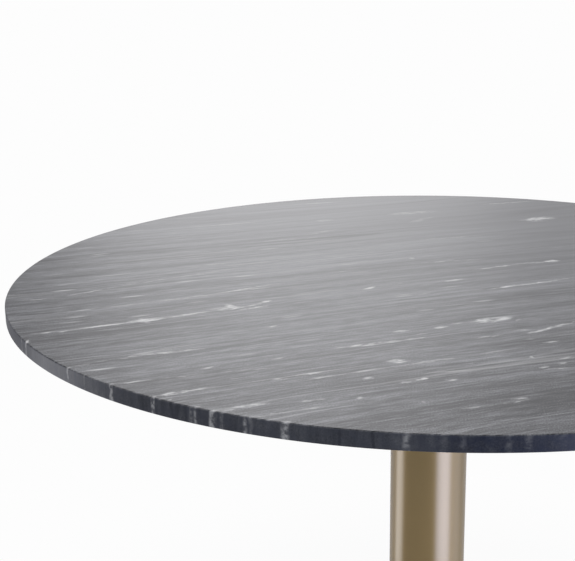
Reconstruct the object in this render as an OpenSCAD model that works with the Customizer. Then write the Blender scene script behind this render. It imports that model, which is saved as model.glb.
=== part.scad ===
// Round pedestal table: a stone top screwed to a gusseted steel plate, a tubular column,
// and a spun base cover over a cast weight that stands on four levelling glides.
// One tie rod clamps the plate, the column, the cover and the weight together.
// The origin is on the floor under the column, +Z is up, and lengths are millimetres.

/* [Overall] */
// Height of the table's surface above the floor
table_h = 750; // [650:10:1100]

/* [Stone top] */
// Diameter of the stone top
top_d = 1200; // [900:10:1500]
// Thickness of the stone slab
top_t = 18; // [16:1:30]
// Radius of the eased edge round the upper face
top_edge_r = 1.5; // [0.5:0.5:5]
// Radius of the eased edge round the lower face
under_edge_r = 1; // [0.5:0.5:5]
// Outer diameter of the threaded inserts bonded into the stone
insert_d = 10; // [9:1:14]
// Length of the threaded inserts
insert_l = 12; // [8:1:14]

/* [Top plate] */
// Diameter of the steel plate under the stone
plate_d = 520; // [400:10:800]
// Thickness of the steel plate
plate_t = 6; // [4:1:12]
// Thickness of the soft gasket between the plate and the stone
gasket_t = 2; // [1:0.5:5]
// Number of screws that hold the stone
screw_count = 8; // [6:1:12]
// Distance of the screws in from the plate's edge
screw_inset = 30; // [20:5:45]
// Thread diameter of the screws that hold the stone
screw_d = 6; // [5:1:7]
// Number of gussets under the plate
gusset_count = 8; // [4:1:12]
// Thickness of a gusset
gusset_t = 5; // [3:1:8]
// Height of a gusset where it meets the sleeve
gusset_h = 34; // [20:1:38]
// Distance of the gussets' tips in from the plate's edge
gusset_inset = 68; // [50:1:90]
// Height of the sleeve that holds the column's upper end
sleeve_h = 44; // [40:1:80]
// Wall of the sleeve
sleeve_wall = 5; // [4:0.5:8]
// Thread diameter of the grub screws in the sleeve
grub_d = 6; // [4:1:8]

/* [Column] */
// Outer diameter of the column tube
column_d = 114.3; // [90:0.1:140]
// Wall of the column tube
column_wall = 2.5; // [1.5:0.5:5]
// Thickness of the plug welded into the column's foot
plug_t = 10; // [6:1:20]
// Diameter of the tie rod inside the column
rod_d = 16; // [12:1:20]

/* [Base] */
// Diameter of the base
base_d = 660; // [520:10:800]
// Height of the base where the column stands on it
base_h = 44; // [42:1:60]
// Height of the base at its outer edge
base_edge_h = 34; // [32:1:40]
// Radius of the rounded shoulder at the base's outer edge
shoulder_r = 14; // [9:1:18]
// Height of the cover's lower edge above the floor
cover_lift = 8; // [5:1:12]
// Sheet thickness of the base cover
cover_t = 2; // [1:0.5:3]
// Space between the cover and the weight, filled by the felt ring
cover_gap = 3; // [1.5:0.5:4]
// Width of the felt ring under the cover
felt_ring_w = 30; // [15:5:60]
// Height of the collar at the foot of the column
collar_h = 12; // [6:1:30]
// Width of the collar's foot
collar_w = 14; // [8:1:20]

/* [Levelling glides] */
// Number of levelling glides
glide_count = 4; // [3:1:6]
// Distance of the glides in from the base's edge
glide_inset = 60; // [40:5:120]
// Diameter of a glide's foot
foot_d = 40; // [30:1:60]
// Height of a glide's foot
foot_h = 6; // [6:0.5:8]
// Thickness of the felt under a glide's foot
foot_felt_t = 2; // [1:0.5:3]
// Thread diameter of the glide's stud
stud_d = 10; // [8:1:12]
// Length of the stud above its hexagon
stud_l = 17; // [14:0.5:17]
// Height of the stud's hexagon
stud_hex_h = 5.4; // [4:0.2:6]

/* [Hidden] */
$fn = 120;

// Clearances, each taken on one side
slip = 0.25;         // between pieces that slide together by hand
bolt_room = 0.5;     // round a bolt in its hole
thread_room = 0.05;  // between a thread and its nut, both drawn plain
bond = 0.1;          // adhesive or weld metal between pieces
felt_room = 0.05;    // between the felt ring and what it touches
play = 0.3;          // between pieces that turn on each other

// Stone and top plate
stone_z = table_h - top_t;
plate_z = stone_z - gasket_t - plate_t;
plate_chamfer = 1;
gasket_margin = 5;
screw_ring_r = plate_d / 2 - screw_inset;
screw_head_d = 2 * screw_d - 1;
screw_head_h = 0.6 * screw_d;
washer_t = 1.6;
washer_d = 3 * screw_d;
insert_groove = 0.5;

// Sleeve and gussets
column_r = column_d / 2;
sleeve_ri = column_r + slip;
sleeve_ro = sleeve_ri + sleeve_wall;
gusset_tip_h = 8;
gusset_relief = 5;
gusset_angle = 360 / gusset_count;
gusset_reach = plate_d / 2 - gusset_inset - sleeve_ro;
grub_count = 4;
grub_tip = 1;

// Tie rod and its fasteners
rod_nut_h = 0.8 * rod_d;
rod_washer_d = 3 * rod_d;
rod_washer_t = 4;
spring_washer_t = 3.5;
rod_tail = 3;

// Base cover and weight
base_r = base_d / 2;
column_ri = column_r - column_wall;
rod_hole_r = rod_d / 2 + bolt_room;
land_margin = 14;
land_r = column_r + collar_w + land_margin;
seat_r = land_r - 4;
weight_off = cover_t + cover_gap;
weight_z = foot_felt_t + foot_h + stud_hex_h + 2 * play;
recess_h = rod_washer_t + spring_washer_t + rod_nut_h + rod_tail;
recess_z = weight_z + recess_h;
recess_r = rod_washer_d / 2 + 1;
hem_w = cover_gap - 0.5;

// The base's outline is a shoulder arc that runs smoothly into a shallow crown arc
crown_slope = 2 * atan((base_h - base_edge_h) / (base_r - shoulder_r - land_r));
crown_r = shoulder_r + (base_r - shoulder_r - land_r) / sin(crown_slope);
crown_c = [land_r, base_h - crown_r];
shoulder_c = [base_r - shoulder_r, base_edge_h - shoulder_r];

// Levelling glides
glide_r = base_r - glide_inset;
glide_angle = 360 / glide_count;
foot_top_z = foot_felt_t + foot_h;
felt_inset = 2;
socket_z = foot_felt_t + 1.5;
stud_head_h = 2;
stud_head_r = 0.6 * stud_d;
stud_neck_r = 0.35 * stud_d;
bush_r = 0.5 * stud_d + 3;
bush_flange_r = bush_r + 3;
bush_flange_t = 2;
bush_l = 15;

// ---- Shared shapes ----

// Points on an arc of radius r about c, from one angle to another
function arc(c, r, from, to, n = 8) =
    [for (i = [0:n]) c + r * [cos(from + (to - from) * i / n), sin(from + (to - from) * i / n)]];

// A list in the opposite order
function reversed(points) = [for (i = [len(points) - 1:-1:0]) points[i]];

// The base's outline set in by off, from its lower edge at height z up to the flat land
function base_line(off, z) = concat(
    [[base_r - off, z]],
    arc(shoulder_c, shoulder_r - off, 0, 90 - crown_slope),
    arc(crown_c, crown_r - off, 90 - crown_slope, 90, 16));

// The angle about the crown's centre at which the outline set in by off has radius r
function crown_angle(off, r) = acos((r - land_r) / (crown_r - off));

// A closed outline in radius and height, turned about the Z axis
module revolve(points) {
    rotate_extrude() polygon(points);
}

// Copies of the children, spaced evenly round the Z axis
module around(count, radius = 0, start = 0) {
    for (i = [0:count - 1])
        rotate(start + 360 * i / count) translate([radius, 0, 0]) children();
}

// A round disc standing on z = 0 with a chamfer on each rim
module chamfered_disc(r, h, c) {
    revolve([[0, 0], [r - c, 0], [r, c], [r, h - c], [r - c, h], [0, h]]);
}

// A flat ring standing on z = 0
module ring(ri, ro, h) {
    difference() {
        cylinder(r = ro, h = h);
        translate([0, 0, -1]) cylinder(r = ri, h = h + 2);
    }
}

// A hexagonal bar of width af across its flats, with its corners chamfered at both ends
module hexagon(af, h) {
    corner = af / sqrt(3);
    intersection() {
        cylinder(r = corner, h = h, $fn = 6);
        chamfered_disc(corner + 0.01, h, corner - af / 2);
    }
}

// A hexagon nut with a plain bore
module nut(d, h, af) {
    difference() {
        hexagon(af, h);
        translate([0, 0, -1]) cylinder(r = d / 2 + thread_room, h = h + 2);
    }
}

// ---- Stone and what holds it ----

module stone_top() {
    r = top_d / 2;
    color([0.25, 0.25, 0.28]) difference() {
        translate([0, 0, stone_z]) revolve(concat(
            [[0, 0]],
            arc([r - under_edge_r, under_edge_r], under_edge_r, -90, 0, 5),
            arc([r - top_edge_r, top_t - top_edge_r], top_edge_r, 0, 90, 5),
            [[0, top_t]]));
        screw_places() translate([0, 0, stone_z - 1])
            cylinder(r = insert_d / 2 + bond, h = insert_l + 1 + bond);
    }
}

// The places of the screws that hold the stone, midway between gussets when their numbers match
module screw_places() {
    around(screw_count, screw_ring_r, 180 / screw_count) children();
}

module stone_inserts() {
    r = insert_d / 2;
    step = insert_l / 4;
    color([0.72, 0.58, 0.3]) screw_places() translate([0, 0, stone_z]) difference() {
        revolve([
            [0, 0], [r, 0], [r, step], [r - insert_groove, step + insert_groove],
            [r - insert_groove, 2 * step - insert_groove], [r, 2 * step], [r, 3 * step],
            [r - insert_groove, 3 * step + insert_groove], [r - insert_groove, insert_l], [0, insert_l]]);
        translate([0, 0, -1]) cylinder(r = screw_d / 2 + thread_room, h = insert_l);
    }
}

module plate_gasket() {
    color([0.12, 0.12, 0.13]) translate([0, 0, plate_z + plate_t]) difference() {
        cylinder(r = plate_d / 2 - gasket_margin, h = gasket_t);
        screw_places() translate([0, 0, -1]) cylinder(r = screw_d / 2 + 2 * bolt_room, h = gasket_t + 2);
    }
}

module top_plate() {
    color([0.1, 0.1, 0.11]) translate([0, 0, plate_z]) difference() {
        chamfered_disc(plate_d / 2, plate_t, plate_chamfer);
        translate([0, 0, -1]) {
            cylinder(r = rod_hole_r, h = plate_t + 2);
            screw_places() cylinder(r = screw_d / 2 + bolt_room, h = plate_t + 2);
        }
    }
}

// One gusset stands on edge along +X, its root against the sleeve and its long side against the plate
module gusset() {
    outline = concat(
        [[gusset_relief, 0], [0, -gusset_relief], [0, -gusset_h]],
        [[gusset_tip_h, -gusset_h]],
        arc([gusset_reach - gusset_tip_h / 2, -gusset_tip_h / 2], gusset_tip_h / 2, -90, 0, 6),
        [[gusset_reach, 0]]);
    translate([sleeve_ro, gusset_t / 2, plate_z]) rotate([90, 0, 0])
        linear_extrude(gusset_t) polygon(outline);
}

module top_plate_gussets() {
    color([0.1, 0.1, 0.11]) around(gusset_count) gusset();
}

// The places of the grub screws, each midway between two gussets, facing along +X
module grub_places() {
    for (i = [0:grub_count - 1])
        rotate((floor(i * gusset_count / grub_count) + 0.5) * gusset_angle)
            translate([0, 0, plate_z - sleeve_h + grub_d]) rotate([0, 90, 0]) children();
}

module top_plate_sleeve() {
    c = 1.5;
    color([0.1, 0.1, 0.11]) difference() {
        translate([0, 0, plate_z - sleeve_h]) revolve([
            [sleeve_ri, c], [sleeve_ri + c, 0], [sleeve_ro - c, 0], [sleeve_ro, c],
            [sleeve_ro, sleeve_h], [sleeve_ri, sleeve_h]]);
        grub_places() cylinder(r = grub_d / 2 + thread_room, h = sleeve_ro + 1);
    }
}

module top_plate_screws() {
    shank_l = plate_t + gasket_t + washer_t + insert_l - 2;
    head_r = screw_head_d / 2;
    color([0.7, 0.71, 0.73]) screw_places() translate([0, 0, plate_z - washer_t]) {
        cylinder(r = screw_d / 2, h = shank_l);
        mirror([0, 0, 1]) difference() {
            revolve(concat(
                [[0, 0], [head_r, 0]],
                arc([head_r - screw_head_h, 0], screw_head_h, 15, 75, 5),
                [[0, screw_head_h]]));
            translate([0, 0, 0.4 * screw_head_h])
                cylinder(r = screw_d / 3 / cos(30), h = screw_head_h, $fn = 6);
        }
    }
}

module top_plate_washers() {
    color([0.7, 0.71, 0.73]) screw_places()
        translate([0, 0, plate_z - washer_t]) ring(screw_d / 2 + slip, washer_d / 2, washer_t);
}

// The nut welded under the plate's middle, which the tie rod screws into
module top_plate_weld_nut() {
    color([0.1, 0.1, 0.11]) translate([0, 0, plate_z - rod_nut_h]) nut(rod_d, rod_nut_h, 1.5 * rod_d);
}

module sleeve_grub_screws() {
    l = sleeve_ro - column_r;
    color([0.2, 0.2, 0.21]) grub_places() translate([0, 0, column_r]) difference() {
        revolve([[0, 0], [grub_d / 2 - grub_tip, 0], [grub_d / 2, grub_tip], [grub_d / 2, l], [0, l]]);
        translate([0, 0, l - 0.4 * grub_d]) cylinder(r = grub_d / 4 / cos(30), h = grub_d, $fn = 6);
    }
}

// ---- Column and tie rod ----

module column_tube() {
    color([0.48, 0.4, 0.29]) translate([0, 0, base_h]) ring(column_ri, column_r, plate_z - base_h);
}

// A disc welded into the column's foot, which centres the column on the tie rod
module column_foot_plug() {
    c = 1;
    r = column_ri - bond;
    color([0.2, 0.2, 0.21]) translate([0, 0, base_h]) revolve([
        [rod_hole_r, 0], [r, 0], [r, plug_t - c], [r - c, plug_t], [rod_hole_r, plug_t]]);
}

// A ring with a hollow flare that covers the joint between the column and the base
module column_collar() {
    ri = column_r + slip;
    lip = 2.5;
    flare_w = collar_w - slip - lip;
    flare_h = collar_h - lip;
    color([0.48, 0.4, 0.29]) translate([0, 0, base_h]) revolve(concat(
        [[ri, 0], [column_r + collar_w, 0]],
        [for (a = [0:9:90]) [column_r + collar_w - flare_w * sin(a), collar_h - flare_h * cos(a)]],
        [[ri, collar_h]]));
}

// The rod runs from the nut welded under the top plate down to the underside of the weight
module tie_rod() {
    c = 1.5;
    end_gap = 1;
    color([0.62, 0.63, 0.65]) translate([0, 0, weight_z])
        chamfered_disc(rod_d / 2, plate_z + plate_t - end_gap - weight_z, c);
}

module tie_rod_washer() {
    color([0.7, 0.71, 0.73])
        translate([0, 0, recess_z - rod_washer_t]) ring(rod_hole_r, rod_washer_d / 2, rod_washer_t);
}

// A split spring washer, drawn pressed flat
module tie_rod_spring_washer() {
    gap = 1;
    color([0.45, 0.46, 0.48]) translate([0, 0, recess_z - rod_washer_t - spring_washer_t]) difference() {
        ring(rod_d / 2 + slip, 0.8 * rod_d, spring_washer_t);
        translate([0, -gap / 2, -1]) cube([rod_d, gap, spring_washer_t + 2]);
    }
}

module tie_rod_nut() {
    color([0.7, 0.71, 0.73]) translate([0, 0, weight_z + rod_tail]) nut(rod_d, rod_nut_h, 1.5 * rod_d);
}

// ---- Base ----

module base_cover() {
    color([0.48, 0.4, 0.29]) revolve(concat(
        base_line(0, cover_lift),
        [[rod_hole_r, base_h], [rod_hole_r, base_h - cover_t]],
        reversed(base_line(cover_t, cover_lift + cover_t)),
        [[base_r - cover_t - hem_w, cover_lift + cover_t], [base_r - cover_t - hem_w, cover_lift]]));
}

// The felt ring fills the space between the cover and the weight near the base's edge
module cover_felt_ring() {
    ro = shoulder_c[0] - shoulder_r;
    ri = ro - felt_ring_w;
    top = cover_t + felt_room;
    under = weight_off - felt_room;
    color([0.3, 0.3, 0.31]) revolve(concat(
        arc(crown_c, crown_r - top, crown_angle(top, ro), crown_angle(top, ri), 4),
        arc(crown_c, crown_r - under, crown_angle(under, ri), crown_angle(under, ro), 4)));
}

// The places of the levelling glides
module glide_places() {
    around(glide_count, glide_r, glide_angle / 2) children();
}

module base_weight() {
    seat_z = base_h - cover_t;
    color([0.16, 0.16, 0.17]) difference() {
        revolve(concat(
            base_line(weight_off, weight_z),
            [[seat_r, base_h - weight_off], [seat_r, seat_z], [rod_hole_r, seat_z]],
            [[rod_hole_r, recess_z], [recess_r, recess_z], [recess_r, weight_z]]));
        glide_places() translate([0, 0, weight_z - 1]) {
            cylinder(r = bush_r, h = base_h);
            cylinder(r = bush_flange_r, h = bush_flange_t + 1);
        }
    }
}

module glide_bushes() {
    r = stud_d / 2;
    color([0.6, 0.61, 0.63]) glide_places() translate([0, 0, weight_z]) revolve([
        [r, 0], [bush_flange_r, 0], [bush_flange_r, bush_flange_t], [bush_r, bush_flange_t],
        [bush_r, bush_l], [r, bush_l]]);
}

// ---- Levelling glides ----

// The place of one levelling glide
module glide_place(i) {
    rotate((i - 0.5) * glide_angle) translate([glide_r, 0, 0]) children();
}

// A moulded foot with a socket that holds the stud's head and lets it turn
module glide_foot(i) {
    r = foot_d / 2;
    socket_top = socket_z + stud_head_h + 2 * play;
    neck_r = stud_neck_r + play;
    socket_r = stud_head_r + play;
    color([0.08, 0.08, 0.08]) glide_place(i) revolve(concat(
        [[0, foot_felt_t], [r - 0.5, foot_felt_t], [r, foot_felt_t + 0.5], [r, foot_felt_t + 2]],
        arc([r - 6, foot_top_z - 3], 3, 30, 90, 4),
        [[neck_r, foot_top_z], [neck_r, socket_top], [socket_r, socket_top]],
        [[socket_r, socket_z], [0, socket_z]]));
}

module glide_stud(i) {
    head_z = socket_z + play;
    hex_z = foot_top_z + play;
    shank_r = stud_d / 2 - thread_room;
    color([0.7, 0.71, 0.73]) glide_place(i) {
        translate([0, 0, head_z]) cylinder(r = stud_head_r, h = stud_head_h);
        translate([0, 0, head_z]) cylinder(r = stud_neck_r, h = hex_z - head_z);
        translate([0, 0, hex_z]) hexagon(1.7 * stud_d, stud_hex_h);
        translate([0, 0, hex_z]) cylinder(r = shank_r, h = stud_hex_h + stud_l - 1);
        translate([0, 0, hex_z + stud_hex_h + stud_l - 1]) cylinder(r1 = shank_r, r2 = shank_r - 1, h = 1);
    }
}

module glide_felt(i) {
    color([0.3, 0.3, 0.31]) glide_place(i) cylinder(r = foot_d / 2 - felt_inset, h = foot_felt_t);
}

// ---- Nodes ----

stone_top();
stone_inserts();
plate_gasket();
top_plate();
top_plate_gussets();
top_plate_sleeve();
top_plate_screws();
top_plate_washers();
sleeve_grub_screws();
top_plate_weld_nut();
column_tube();
column_foot_plug();
column_collar();
tie_rod();
tie_rod_washer();
tie_rod_spring_washer();
tie_rod_nut();
base_cover();
cover_felt_ring();
base_weight();
glide_bushes();
for (i = [1:glide_count]) {
    glide_foot(i);
    glide_stud(i);
    glide_felt(i);
}
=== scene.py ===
"""Round pedestal table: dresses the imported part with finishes, small forms and a plain studio."""
from functools import partial
from math import atan2, cos, degrees, hypot, pi, radians, sin, tau

import bmesh
import bpy
from bpy.props import FloatProperty, FloatVectorProperty, IntProperty, PointerProperty
from mathutils import Matrix, Vector


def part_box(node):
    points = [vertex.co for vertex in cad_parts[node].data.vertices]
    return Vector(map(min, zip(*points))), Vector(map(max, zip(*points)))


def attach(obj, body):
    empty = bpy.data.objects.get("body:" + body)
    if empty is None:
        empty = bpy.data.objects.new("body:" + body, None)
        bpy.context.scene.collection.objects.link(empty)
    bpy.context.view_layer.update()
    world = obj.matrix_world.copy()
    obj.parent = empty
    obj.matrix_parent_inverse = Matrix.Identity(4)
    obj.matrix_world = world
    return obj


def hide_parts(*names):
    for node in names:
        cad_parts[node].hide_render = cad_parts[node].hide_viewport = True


bl_info = {
    "name": "Round pedestal table",
    "version": (1, 0, 0),
    "blender": (4, 5, 0),
    "location": "3D View > Sidebar > Table",
    "description": "Makes the pieces, finishes and studio of a stone-topped pedestal table",
    "category": "Object",
}

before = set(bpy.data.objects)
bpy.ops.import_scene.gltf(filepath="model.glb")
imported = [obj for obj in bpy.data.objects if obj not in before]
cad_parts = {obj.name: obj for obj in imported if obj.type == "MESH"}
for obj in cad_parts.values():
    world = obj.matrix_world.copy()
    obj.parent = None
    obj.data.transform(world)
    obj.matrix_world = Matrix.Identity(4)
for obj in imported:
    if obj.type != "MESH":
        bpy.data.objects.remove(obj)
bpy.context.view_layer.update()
MM = 0.001

top_low, top_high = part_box("stone_top")
tube_low, tube_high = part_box("column_tube")
TOP_RADIUS = top_high.x

# Depth of a metric thread, as a share of its pitch
THREAD_DEPTH = 0.61

# The camera's lens in mm, its distance in radii of the top, and its angles in degrees
CAMERA_LENS = 68.98
CAMERA_REACH = 2.677
CAMERA_LIFT = 14.49
CAMERA_PAN = 7.72
CAMERA_TILT = 14.95
CAMERA_ROLL = -0.907

# The even light on matt pieces, what polished ones show where nothing glows, and a painted shadow
# that polished pieces see on the floor close to the base, all as linear colours
SKY = (0.53, 0.55, 0.60)
DIM_ROOM = (0.09, 0.09, 0.10)
FLOOR_PAINTED_SHADOW = (0.3, 0.3, 0.3)

# What glows round the table: azimuth from the front in degrees (positive to the right), full and
# outer half-widths, colour, share, and where it stands: below the table's edge, above it, or both
GLOWS = (
    # Tall softbox at the front right, and its soft fall-off
    (47, 0, 29, "#D9E0FF", 2.75, "low"),
    (70, 8, 52, "#EEF0FF", 0.85, "low"),
    # Narrow window at the left
    (-92.5, 3, 20, "#FBFBFF", 1.75, "low"),
    # Bright wall behind the table, and its dimmer right part
    (-171.5, 0, 14.5, "#FFFEFF", 1.32, "both"),
    (172, 0, 10, "#FFFEFF", 0.42, "both"),
    # Pale surroundings at the back and sides, and the pale room in front
    (180, 25, 110, "#FDFDFF", 0.36, "both"),
    (0, 80, 130, "#FDFDFF", 0.95, "high"),
)

# The stone's streaks run at this angle to the +X axis
GRAIN_ANGLE = radians(26)

# Pale veins: start x and y, end x and y, half-width and strength, in millimetres on the surface
PALE_VEINS = (
    (-409, -458, -355, -419, 3.6, 0.55), (-370, -428, -297, -387, 3.6, 0.55),
    (-326, -403, -247, -366, 3.6, 0.6), (-311, -395, -284, -383, 3.4, 0.5),
    (-336, -500, -285, -475, 3.4, 0.6), (-295, -481, -230, -451, 3.2, 0.45),
    (-240, -456, -152, -424, 3.2, 0.35), (-282, -531, -212, -488, 4.2, 0.7),
    (-273, -524, -247, -507, 5.5, 1), (-213, -566, -153, -531, 4.2, 0.75),
    (-181, -580, -126, -551, 3.4, 0.6), (-486, -340, -423, -310, 4.6, 1),
    (-437, -316, -367, -275, 4.4, 0.9), (-378, -280, -326, -256, 4.4, 0.9),
    (-350, -267, -273, -216, 4.2, 0.85), (-380, -279, -332, -257, 11, 0.9),
    (-362, -275, -348, -266, 16, 0.6), (-286, -219, -238, -197, 11, 0.9),
    (-268, -203, -252, -194, 15, 0.6), (-253, -221, -203, -183, 4.6, 0.8),
    (-246, -205, -206, -164, 4.4, 0.8), (-224, -175, -207, -167, 6, 0.5),
    (-491, -254, -423, -217, 3.4, 0.5), (-440, -225, -358, -182, 3.6, 0.5),
    (-381, -197, -279, -133, 3.8, 0.55), (-309, -154, -192, -63, 3.8, 0.45),
    (-562, -199, -491, -174, 3.4, 0.45), (-504, -178, -432, -112, 3.8, 0.5),
    (-455, -131, -347, -43, 4, 0.4), (-384, -74, -269, 14, 4.4, 0.35),
    (-200, -288, -185, -277, 4, 0.85), (-250, -443, -234, -431, 3.6, 0.6),
    (-169, -471, -146, -460, 3.2, 0.6), (-180, -406, -156, -391, 3, 0.4),
    (-356, -358, -318, -343, 2.6, 0.3), (-215, -472, -193, -462, 2.8, 0.35),
    (-304, -325, -259, -306, 2.6, 0.3), (-461, -390, -405, -367, 3, 0.25),
    (-186, -550, -156, -532, 3, 0.4), (-114, -362, -53, -332, 4.2, 0.9),
    (-81, -346, -30, -321, 4.6, 0.9), (-41, -328, 5, -299, 3.6, 0.55),
    (-150, -478, -85, -440, 3.4, 0.5), (-100, -449, -35, -413, 3.6, 0.5),
    (-48, -421, 44, -371, 4, 0.55), (30, -377, 110, -335, 3.6, 0.4),
    (-57, -405, -14, -390, 7.5, 0.5), (-47, -401, -25, -394, 8, 0.62),
    (40, -250, 108, -213, 10, 0.8), (54, -240, 85, -227, 14, 0.62), (72, -233, 99, -222, 11, 0.56),
    (1, -274, 23, -260, 5.2, 1), (-47, -294, -23, -282, 4.8, 0.8), (17, -260, 48, -240, 3.4, 0.45),
    (-24, -301, 5, -289, 2.8, 0.3), (72, -91, 142, -52, 4.2, 0.75), (117, -67, 207, -12, 3.8, 0.6),
    (108, -287, 145, -262, 4.6, 0.8), (132, -269, 182, -224, 4.2, 0.6),
    (40, -313, 93, -288, 3.4, 0.45), (82, -283, 127, -263, 3.6, 0.5),
    (123, -272, 158, -249, 3.6, 0.5), (102, -237, 112, -221, 4, 0.4), (18, -47, 53, -34, 3.6, 0.5),
    (-95, -110, -76, -83, 4.4, 1), (40, 2, 156, 74, 3.8, 0.4), (-144, -455, -112, -438, 4.2, 0.75),
    (-132, -447, -116, -441, 4.6, 0.7), (-72, -458, -59, -450, 4.4, 0.7),
    (-33, -469, 3, -446, 3.8, 0.7), (-10, -452, 0, -447, 4.6, 0.6), (14, -456, 30, -447, 4.6, 0.8),
    (-133, -530, -99, -517, 3.8, 0.7), (-128, -528, -114, -523, 4, 0.5),
    (-140, -557, -93, -533, 3.4, 0.55), (-75, -517, -65, -510, 3.8, 0.5),
    (114, -407, 130, -399, 4.4, 0.75), (133, -393, 150, -384, 4.4, 0.75),
    (114, -415, 161, -398, 3.2, 0.5), (139, -375, 159, -364, 3.4, 0.45),
    (25, -536, 69, -518, 3.2, 0.6), (64, -522, 105, -496, 3.6, 0.55),
    (78, -505, 101, -494, 4.2, 0.6), (127, -319, 152, -308, 3.8, 0.55),
    (103, -310, 124, -301, 3.2, 0.4), (-9, -520, -4, -517, 3.6, 0.5),
    (40, -403, 49, -396, 3.6, 0.4), (110, -372, 115, -368, 4, 0.5),
    (-31, -465, -21, -459, 3.2, 0.4), (166, 70, 192, 84, 7, 0.56), (143, 53, 174, 77, 4, 0.5),
    (-190, -184, -149, -162, 3.6, 0.45), (-22, -126, 5, -111, 3, 0.35),
    (-51, -71, -40, -63, 3, 0.4), (-120, -300, -100, -288, 3, 0.35),
    (-489, -364, -483, -345, 3, 0.5), (-475, -374, -475, -356, 3.2, 0.85),
    (-373, -480, -368, -467, 2.8, 0.3), (-339, -511, -333, -499, 2.8, 0.4),
    (-263, -541, -257, -528, 3, 0.4), (-236, -560, -224, -548, 3, 0.5),
    (-205, -567, -196, -561, 3, 0.45), (-142, -591, -132, -578, 6, 0.8),
    (-28, -608, -15, -594, 5, 0.48), (-17, -607, -10, -602, 4, 0.35),
    (-91, -367, -41, -322, 2, 0.1), (134, 364, 231, 400, 9, 0.56), (160, 374, 200, 394, 14, 0.5),
    (-62, 36, 109, 94, 4, 0.35), (-56, 320, 13, 410, 14, 0.25), (-248, 191, -125, 316, 10, 0.2),
    (-305, -142, -195, -88, 3.8, 0.4), (-365, 2, -285, 42, 6, 0.35), (80, -86, 140, -54, 4.2, 0.6),
    (132, -60, 198, -18, 4, 0.5), (20, -116, 90, -82, 3.2, 0.25), (162, 68, 190, 86, 10, 0.43),
    (35, 8, 142, 61, 3.8, 0.4), (130, 56, 165, 74, 4.2, 0.4), (2, -57, 48, -39, 5, 0.45),
    (8, 63, 42, 82, 6, 0.35), (-36, 76, -24, 84, 8, 0.35), (160, 352, 215, 418, 22, 0.5),
    (-100, 402, 30, 455, 16, 0.35), (-215, 338, -165, 362, 14, 0.25),
    (-560, -130, -450, -78, 4.2, 0.3), (-590, -80, -500, -30, 4.6, 0.25),
    (-170, -24, -90, 10, 4.2, 0.25), (320, 120, 430, 180, 4, 0.6), (250, -140, 400, -60, 3.8, 0.5),
    (280, -330, 420, -262, 4, 0.6), (340, -190, 380, -168, 10, 0.56),
    (200, -470, 330, -410, 3.6, 0.5), (300, 280, 460, 350, 4.4, 0.5), (430, -60, 560, 0, 3.8, 0.45),
    (240, 40, 300, 70, 5, 0.5), (150, -560, 260, -515, 3.8, 0.45), (-350, 150, -120, 245, 5, 0.3),
    (-460, 260, -260, 350, 6, 0.25), (380, -420, 500, -350, 3.6, 0.5), (-60, 190, 120, 262, 5, 0.3),
    (200, 180, 330, 232, 4.4, 0.4), (60, 500, 220, 565, 6, 0.4), (-300, 480, -140, 540, 7, 0.3),
    (440, 180, 560, 225, 4, 0.5), (2, -604, 26, -594, 4, 0.17), (18, -606, 45, -592, 4, 0.17),
    (60, -602, 86, -590, 3, 0.2), (76, -602, 102, -588, 3, 0.25), (110, -594, 136, -580, 5, 0.15),
    (-338, -506, -328, -494, 4.4, 0.85), (-285, -536, -275, -527, 3.6, 1),
    (-218, -566, -207, -557, 4.2, 0.9), (-182, -578, -173, -569, 3, 0.55),
    (-401, -456, -391, -447, 2.6, 0.45), (-240, -556, -232, -550, 3, 0.4),
)

# Dark seams and, in the last rows, broad clouds, written in the same way; the broad clouds that
# darken the front and right of the top are partly painted shade
DARK_SEAMS_AND_SHADE = (
    (-600, 38, -370, 140, 13, 0.55), (-390, 130, -110, 284, 11, 0.5),
    (-590, -95, -440, -35, 12, 0.5), (-455, -42, -290, 64, 9, 0.5), (-305, 55, -30, 205, 9, 0.45),
    (40, 228, 235, 292, 12, 0.4), (80, 388, 255, 492, 16, 0.4), (-480, -262, -180, -130, 6, 0.35),
    (-430, -330, -210, -225, 8, 0.4), (-100, -200, 150, -80, 8, 0.3),
    (-330, -540, -150, -455, 6, 0.35), (20, -350, 230, -250, 9, 0.35),
    (250, -240, 520, -110, 12, 0.4), (240, 150, 500, 270, 14, 0.4),
    (-60, -640, 420, -330, 190, 0.3), (-420, -430, 20, -150, 130, -0.05),
    (-600, -330, -330, -80, 110, 0.12), (-520, -380, -230, -240, 75, 0.5),
    (-260, -575, 110, -375, 65, 0.6), (80, -380, 280, -275, 75, 0.9),
)


# ---- Colours, shader nodes and materials ----

def linear(text):
    """The linear colour of an sRGB hex value."""
    parts = [int(text[i:i + 2], 16) / 255 for i in (1, 3, 5)]
    return tuple(p / 12.92 if p <= 0.04045 else ((p + 0.055) / 1.055) ** 2.4 for p in parts)


def rgba(colour):
    """A colour with full alpha, from a hex value or a linear colour."""
    return (*(linear(colour) if isinstance(colour, str) else colour), 1.0)


def add_node(tree, kind, inputs=None, out=None, **settings):
    """Adds a shader node with its settings, sets or links its inputs, and returns an output."""
    made = tree.nodes.new("ShaderNode" + kind)
    for name, value in settings.items():
        setattr(made, name, value)
    for name, value in (inputs or {}).items():
        if isinstance(name, int):
            socket = made.inputs[name]
        else:
            socket = next(s for s in made.inputs if s.enabled and s.name == name)
        if isinstance(value, bpy.types.NodeSocket):
            tree.links.new(value, socket)
        else:
            socket.default_value = value
    if out:
        return made.outputs[out]
    return next((s for s in made.outputs if s.enabled), None)


def material(name, build, *values):
    """A material by its name; a new one gets the nodes that its build function adds."""
    made = bpy.data.materials.get(name)
    if made is None:
        made = bpy.data.materials.new(name)
        made.use_nodes = True
        made.node_tree.nodes.clear()
        add = partial(add_node, made.node_tree)
        add("OutputMaterial", {"Surface": build(add, *values)})
    return made


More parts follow.
